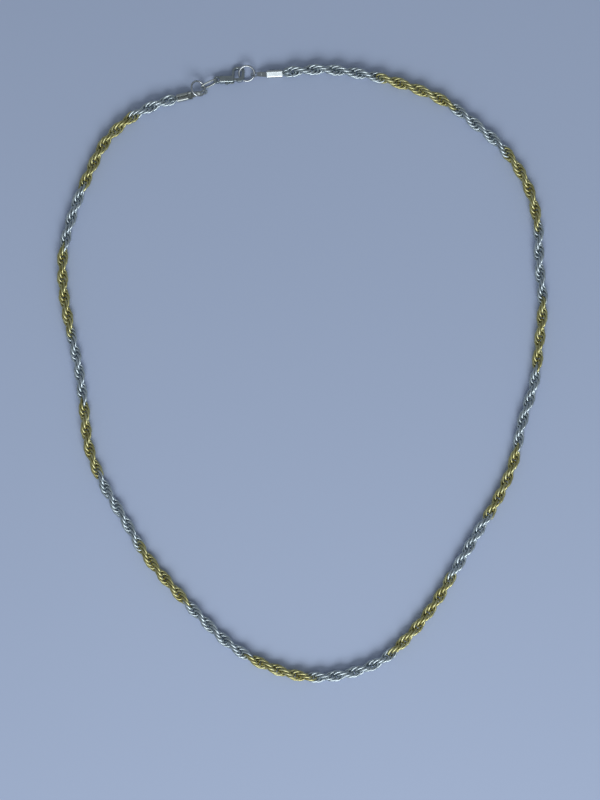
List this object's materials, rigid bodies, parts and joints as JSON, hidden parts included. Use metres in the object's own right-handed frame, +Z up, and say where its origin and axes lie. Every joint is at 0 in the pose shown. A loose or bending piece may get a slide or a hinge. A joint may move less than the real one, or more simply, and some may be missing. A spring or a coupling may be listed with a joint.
{
  "type": "rope chain necklace",
  "caption": "Closed necklace of twisted rope chain in alternating silver and gold stretches, with folded end caps, jump rings and a sprung hook clasp.",
  "frame": {"origin": "on the surface that the necklace lies on, under the middle of its outline in plan", "axes": "+Z up from the surface, +Y from the front of the loop towards the clasp, +X to the right with the clasp at the top of the view"},
  "size_m": [0.1425, 0.1794, 0.0039],
  "materials": {
    "silver_links": "polished silver-coloured wire links, darker in the gaps between them",
    "gold_links": "polished gold-coloured wire links, darker in the gaps between them",
    "cap_metal": "bright folded sheet",
    "ring_metal": "polished round wire",
    "clasp_metal": "tumbled cast metal, slightly darker than the rings"
  },
  "bodies": {
    "necklace": {"chain_silver": "silver_links", "chain_gold": "gold_links", "cap_right": "cap_metal", "cap_left": "cap_metal", "ring_right": "ring_metal", "ring_left": "ring_metal", "oval_link": "ring_metal", "clasp_body": "clasp_metal", "clasp_pin": "clasp_metal"},
    "lever": {"clasp_lever": "clasp_metal"}
  },
  "joints": [
    {"name": "lever_hinge", "type": "hinge", "parent": "necklace", "child": "lever", "pos_m": [-0.0213, 0.085, 0.0016], "axis": [-0.1047, 0.342, 0.9338], "range_deg": [0, 35], "stiffness_Nm_per_rad": 0.0002}
  ]
}
